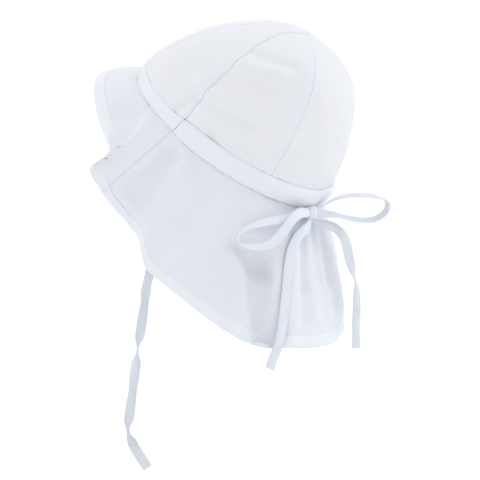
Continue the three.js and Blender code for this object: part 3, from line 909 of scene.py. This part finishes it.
def skirt_maps(from_turn, to_turn, side):
    """The maps of a skirt piece. side is the share of its columns that is turned in at each end."""
    length = (to_turn - from_turn) * DEGREE

    def inner(u):
        return min(max((u - side) / (1 - 2 * side), 0), 1)

    def past(u):
        return (u - side) / side if u < side else (u + side - 1) / side if u > 1 - side else 0

    def turn_at(u):
        return lerp(from_turn + 0.04, to_turn - 0.04, closer(inner(u), 0.5))

    def place(u, v):
        beyond = past(u)
        turn = turn_at(u) + beyond * 2.2
        share, round_fold = hem_spot(turn, v)
        point = skirt_point(turn, share)
        if beyond:
            point += inward_at(turn, share) * 1.1 * min(1, 2 * abs(beyond))
        if round_fold:
            down = (skirt_point(turn, 1) - skirt_point(turn, 0.98)).normalized()
            angle = round_fold * math.pi
            point += inward_at(turn, share) * hem_round(turn) * (1 - math.cos(angle))
            point += down * hem_round(turn) * math.sin(angle)
        under = 1 - min(v / ALLOWANCE_SHARE, 1)
        depth = TURNED_DEPTH * min(2 * under, 1)
        return tucked_in(point, turn, depth, -TURNED_RUN * under) if under else point

    def relief(u, v):
        turn = turn_at(u)
        near = near_turn(turn)
        share, round_fold = hem_spot(turn, v)
        reach = hem_reach(near)
        point = skirt_point(turn, share)
        way = turn * DEGREE * 1.3
        from_hem = (1 - share) * reach
        along = closer(inner(u), 0.5)
        from_side = min(along, 1 - along) * length
        from_line = abs(from_hem - hem_width(turn))
        height = crease_height(SMALL_CREASES, near, share, DEGREE, reach)
        height += 0.5 * uneven(point, 28, 4) + 0.14 * uneven(point, 10, 5)
        height += 0.5 * pucker(share * reach, way, 7, 7, 7)
        height += 0.35 * pucker(from_line, way, 6, 8, 4)
        height += 0.25 * pucker(from_side, share * reach, 7, 9, 4)
        beside_face = between(83, 85, near) - between(96, 99, near)
        height += seam_dip(from_line, (0.5 + 0.9 * beside_face) * (1 - 0.8 * sharp_at(turn)), 0.8)
        height += seam_dip(share * reach, 0.3, 0.5) + seam_dip(from_side, 0.5, 0.5)
        return height * math.cos(round_fold * math.pi)

    def flat(u, v):
        reach = hem_reach(near_turn(turn_at(u)))
        return turn_at(u) * DEGREE * 1.3, v * reach

    def double(u, v):
        share, _ = hem_spot(turn_at(u), v)
        from_hem = (1 - share) * hem_reach(near_turn(turn_at(u)))
        return 1 - between(-0.5, 0.5, from_hem - hem_width(turn_at(u)))

    return place, relief, flat, double


def sew_skirt(name, from_turn, to_turn, side, columns, rows, flat_size, area):
    place, relief, flat, double = skirt_maps(from_turn, to_turn, side)
    cloth = bend_cloth(cut_cloth(columns, rows, flat), place, relief, double)
    piece = finish_piece(f"{name}_cloth", cloth, brim_cotton, "brim_cloth", name)
    give_wall(piece, CLOTH)
    wide, long = flat_size
    print(name, len(piece.data.polygons), "faces")
    return piece


BRIM_GRID = (200, 56)
FLAP_GRID = (304, 96)
FLAP_SIDE = 0.012
BRIM_TURNS = (-BRIM_SEAM, BRIM_SEAM)
FLAP_TURNS = (BRIM_SEAM, FULL_TURN - BRIM_SEAM)
brim = sew_skirt("brim", *BRIM_TURNS, 0, *BRIM_GRID, (330, 52), 0.95)
flap = sew_skirt("neck_flap", *FLAP_TURNS, FLAP_SIDE, *FLAP_GRID, (460, 118), 0.85)

# %% [markdown]
# Stitches
#
# A row of straight stitches holds the folded hem. Each stitch is a short capsule, half sunk in the
# cloth, of one thickness with a sewing thread. It lies on the cloth of the finished piece, so we
# ask the grid for the place and the normal at a share across and a share along. The flap's side
# columns are turned in under the brim, so its row leaves them out.

# %% Sew a row of stitches along the hem
STITCH_PITCH = 2.6
STITCH_LENGTH = 1.9
THREAD = 0.42
thread_cotton = cotton("thread_cotton", (0.62, 0.65, 0.71, 1), (0.62, 0.65, 0.71, 1))


def on_grid(piece, columns, u, v, rows):
    """The nearest point of a piece's grid, with its normal."""
    vert = piece.data.vertices[round(v * rows) * (columns + 1) + round(u * columns)]
    return vert.co.copy(), vert.normal.copy()


def grid_path(piece, columns, rows, v_at):
    """Points along a piece, one a column, on the line where v_at tells the share down."""
    path = []
    for column in range(columns + 1):
        u = column / columns
        v = v_at(u)
        row = min(int(v * rows), rows - 1)
        near, near_normal = on_grid(piece, columns, u, row / rows, rows)
        far, far_normal = on_grid(piece, columns, u, (row + 1) / rows, rows)
        share = v * rows - row
        path.append((near.lerp(far, share), near_normal.lerp(far_normal, share)))
    return path


def stitch_row(shape, path):
    """Capsules at even steps along a path of places and normals."""
    left = STITCH_PITCH * MM / 2
    count = 0
    for (start, normal), (end, _) in zip(path, path[1:]):
        way = end - start
        while left < way.length:
            capsule(shape, start + way.normalized() * left, way.normalized(), normal)
            left += STITCH_PITCH * MM
            count += 1
        left -= way.length
    return count


def capsule(shape, middle, along, normal):
    made = bmesh.ops.create_icosphere(shape, subdivisions=1, radius=1)
    side = normal.cross(along).normalized()
    for vert in made["verts"]:
        x, y, z = vert.co
        length = along * x * STITCH_LENGTH / 2 * MM
        vert.co = middle + length + side * y * THREAD / 2 * MM + normal * z * THREAD / 2 * MM


def hem_line(from_turn, to_turn, side):
    def v_at(u):
        inner = min(max((u - side) / (1 - 2 * side), 0), 1)
        turn = lerp(from_turn, to_turn, closer(inner, 0.5))
        gone = hem_reach(near_turn(turn)) - hem_width(turn) + 0.2
        return ALLOWANCE_SHARE + (1 - ALLOWANCE_SHARE) * gone / hem_length(turn)

    return v_at


def sew_stitches(name, rows_of_stitches):
    shape = bmesh.new()
    count = sum(stitch_row(shape, path) for path in rows_of_stitches)
    shape.loops.layers.uv.new("cut")
    finish_piece(name, shape, thread_cotton, "brim_cloth")
    print(name, count, "stitches")


HIDDEN_COLUMNS = 4
brim_path = grid_path(brim, *BRIM_GRID, hem_line(*BRIM_TURNS, 0))
flap_path = grid_path(flap, *FLAP_GRID, hem_line(*FLAP_TURNS, FLAP_SIDE))
sew_stitches("hem_stitches", [brim_path, flap_path[HIDDEN_COLUMNS:-HIDDEN_COLUMNS]])

# %% [markdown]
# The ties and the bow
#
# A flat tie is a strip folded in half and sewn, so it is a thin ribbon with soft round edges that
# bends easily one way and twists as it hangs. A grid of a few columns follows the middle line,
# and its flat side turns with the facing of each stop. The strip curls a little along its length,
# more in one place than in another, and is drawn together where the knot holds it.

# %% Shape of a flat tie
TIE_WIDTH = 7.5
TIE_CLOTH = 0.9
TIE_CUP = 0.4
TIE_COLUMNS = 8
STEPS_A_STOP = 8
STEP_LENGTH = 1.9
PINCH = 0.5
PINCH_REACH = 8


def smooth_route(route, value):
    """Points on a smooth curve through the stops."""
    stops = [Vector(value(stop)) for stop in route]
    stops = [stops[0] * 2 - stops[1], *stops, stops[-1] * 2 - stops[-2]]
    points = []
    for a, b, c, d in zip(stops, stops[1:], stops[2:], stops[3:]):
        for step in range(STEPS_A_STOP):
            t = step / STEPS_A_STOP
            ease = b * 2 + (c - a) * t + (a * 2 - b * 5 + c * 4 - d) * t ** 2
            points.append((ease + (b * 3 - a - c * 3 + d) * t ** 3) / 2)
    return points + [stops[-2]]


def pinch(length):
    """A strip is drawn together where the knot holds it."""
    return 1 - PINCH * math.exp(-(length / PINCH_REACH) ** 2)


def tie_maps(route, held):
    """The middle line, places and flat cut of a tie. held lists the steps that the knot holds."""
    centres = smooth_route(route, lambda stop: (stop.x, stop.y, stop.z))
    facings = smooth_route(route, lambda stop: Vector(stop.facing).normalized())
    last = len(centres) - 1

    def place(u, v):
        number = round(v * last)
        along = (centres[min(number + 1, last)] - centres[max(number - 1, 0)]).normalized()
        across = along.cross(facings[number]).normalized()
        side = 2 * closer(u, 0.4) - 1
        width = TIE_WIDTH * (1 + 0.04 * uneven(centres[number], 14, 12))
        for end in held:
            width *= pinch((centres[number] - centres[end]).length)
        curl = TIE_CUP * (1 + 1.3 * uneven(centres[number], 17, 22))
        cup = curl * (1 - side ** 2) + 0.12 * uneven(centres[number] + across * side, 5, 13)
        return centres[number] + across * side * width / 2 + across.cross(along) * cup

    def flat(u, v):
        return u * TIE_WIDTH, v * last * STEP_LENGTH

    return centres, place, flat


def make_tie(name, route, held, painted_shade):
    """The last argument is how much painted shade, a darker and greyer tone, the strip has at its
    start and at its end.
    """
    centres, place, flat = tie_maps(route, held)

    # Painted shade along the strip, from its start to its end, with a little noise.
    def painted_shade_along(u, v):
        return lerp(*painted_shade, v) * (1 + 0.5 * uneven(Vector((v * 90, u * 8, 0)), 8, 21))

    cloth = cut_cloth(TIE_COLUMNS, len(centres) - 1, flat)
    bend_cloth(cloth, place, None, painted_shade_along)
    piece = finish_piece(f"{name}_cloth", cloth, tie_cotton, "tie_cloth", name)
    give_wall(piece, TIE_CLOTH, 0)
    rounder = piece.modifiers.new("rounder", "SUBSURF")
    rounder.levels = 1
    rounder.render_levels = 1
    length = sum((b - a).length for a, b in zip(centres, centres[1:]))
    path = [centre * MM for centre in centres]
    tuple(path[0])
    print(name, round(length), "mm long")
    return piece


# The last pair of each tie is how much painted shade it has at its start and at its end.
ties = [
    make_tie("bow_left_loop", LEFT_LOOP, (0, -1), (0, 0.2)),
    make_tie("bow_right_loop", RIGHT_LOOP, (0, -1), (0, 0)),
    make_tie("bow_left_tail", LEFT_TAIL, (0,), (0, 0.5)),
    make_tie("bow_right_tail", RIGHT_TAIL, (0,), (1, 0.6)),
    make_tie("chin_tie", CHIN_TIE, (), (1, 0.8)),
]

# %% [markdown]
# Edge stitches of the ties
#
# A tie is folded lengthwise and closed by one row of stitches beside its open edge. The row runs
# along the last but one column of the ribbon's grid, on both of its faces, because a thread goes
# through the cloth. It stops a few steps short of each end, where the knot or the cut hides it.

# %% Sew the ties
def tie_edge(piece, face):
    """Places and normals along a tie, on one of its faces."""
    rows = len(piece.data.vertices) // (TIE_COLUMNS + 1) - 1
    path = []
    for row in range(rows + 1):
        place, normal = on_grid(piece, TIE_COLUMNS, 1 - 1 / TIE_COLUMNS, row / rows, rows)
        path.append((place + normal * face * TIE_CLOTH * 0.52 * MM, normal))
    return path


ENDS_LEFT_OUT = slice(3, -2)
tie_rows = [tie_edge(tie, face)[ENDS_LEFT_OUT] for tie in ties for face in (-1, 1)]
sew_stitches("tie_stitches", tie_rows)

# %% [markdown]
# The knot
#
# The knot is the tie itself, wound once round the middle of the bow. It starts as a sphere that
# is squared off to the knot's size. Two shallow lines across its face are the edges of the wound
# strip, and its top and bottom are drawn in, where the strip goes behind.

# %% Shape the knot
KNOT_WIDTH = 10.4
KNOT_HEIGHT = 11.2
KNOT_DEPTH = 8.6
KNOT_SEAT = 0.9
KNOT_RAISE = 1.3
KNOT_TURN = 174
# How much painted shade the knot has all over: the darker, greyer tie tone.
KNOT_PAINTED_SHADE = 0.5


def knot_side(value, power=0.62):
    return math.copysign(abs(2 * value) ** power / 2, value)


def wind_knot():
    lump = bmesh.new()
    bmesh.ops.create_uvsphere(lump, u_segments=48, v_segments=32, radius=0.5)
    seat = skirt_point(KNOT_TURN, KNOT_HEIGHT / 2 / FLAP_LENGTH)
    seat += Vector((KNOT_DEPTH / 2 + KNOT_SEAT, 0, KNOT_RAISE))
    for vert in lump.verts:
        back, side, up = (knot_side(c) for c in vert.co)
        line = math.exp(-((abs(side) - 0.27) / 0.05) ** 2)
        full = 1 - 0.12 * line - 0.1 * (2 * up) ** 4 + 0.03 * math.sin(side * 23)
        place = Vector((back * KNOT_DEPTH, side * KNOT_WIDTH, up * KNOT_HEIGHT)) * full
        vert.co = (place + seat) * MM
    axes = {"use_axis_x": True, "use_axis_y": True, "use_axis_z": True}
    bmesh.ops.smooth_vert(lump, verts=lump.verts, factor=0.3, **axes)
    # The knot is painted with shade through the same attribute as the ties.
    painted_shade = lump.verts.layers.float.new("double")
    for vert in lump.verts:
        vert[painted_shade] = KNOT_PAINTED_SHADE
    lump.loops.layers.uv.new("cut")
    return finish_piece("bow_knot_cloth", lump, tie_cotton, "tie_cloth", "bow_knot")


print("knot faces:", len(wind_knot().data.polygons))

# %% [markdown]
# Stage and light
#
# The hat hangs where a head would hold it, high over a plain pale floor, so that it can be seen
# from below too. White light comes evenly from all round, as in a small product studio. Two large
# soft lamps stand to the right and the left of it, the right one stronger, and shine down along
# the cloth: the hat is brightest at its top and sides, and each fold gets a light and a dark side.

# %% Build the stage
FLOOR_DROP = 4
FLOOR_SIZE = 60


def pale_floor():
    shape = bmesh.new()
    bmesh.ops.create_grid(shape, x_segments=1, y_segments=1, size=FLOOR_SIZE)
    bmesh.ops.translate(shape, verts=shape.verts, vec=(0, 0, -FLOOR_DROP))
    mesh = bpy.data.meshes.new("floor")
    shape.to_mesh(mesh)
    shape.free()
    paint = bpy.data.materials.new("pale_floor")
    paint.use_nodes = True
    paint.node_tree.nodes["Principled BSDF"].inputs["Base Color"].default_value = (0.95, 0.95, 0.96, 1)
    paint.node_tree.nodes["Principled BSDF"].inputs["Roughness"].default_value = 0.9
    mesh.materials.append(paint)
    floor = bpy.data.objects.new("floor", mesh)
    bpy.context.collection.objects.link(floor)


pale_floor()
print("floor below the head opening:", FLOOR_DROP, "m")

# %% Light the stage
ROOM_LIGHT = 1.0
LAMP_SPREAD = math.radians(50)
Lamp = namedtuple("Lamp", "name rightwards upwards backwards strength")
LAMPS = [
    Lamp("right_lamp", 1.0, 1.0, -0.15, 0.65),
    Lamp("left_lamp", -1.0, 0.9, -0.15, 0.4),
]


def light_room():
    world = bpy.data.worlds.new("room")
    bpy.context.scene.world = world
    world.use_nodes = True
    world.node_tree.nodes["Background"].inputs["Color"].default_value = (1, 1, 1, 1)
    world.node_tree.nodes["Background"].inputs["Strength"].default_value = ROOM_LIGHT


def hang_lamp(row):
    """A lamp as far away as the sun. Its disc is wide, so its shadows are soft."""
    lamp = bpy.data.lights.new(row.name, "SUN")
    lamp.angle = LAMP_SPREAD
    lamp.energy = row.strength
    hanging = bpy.data.objects.new(row.name, lamp)
    bpy.context.collection.objects.link(hanging)
    way = camera_right * row.rightwards + camera_up * row.upwards + camera_back * row.backwards
    hanging.rotation_euler = way.to_track_quat("Z", "Y").to_euler()


light_room()
for row in LAMPS:
    hang_lamp(row)
bpy.context.scene.view_settings.view_transform = "Standard"
print("lights:", len(bpy.data.lights))

# %% [markdown]
# Sizes, and the end
# The end
# The cloth may stand a little proud of the solids.
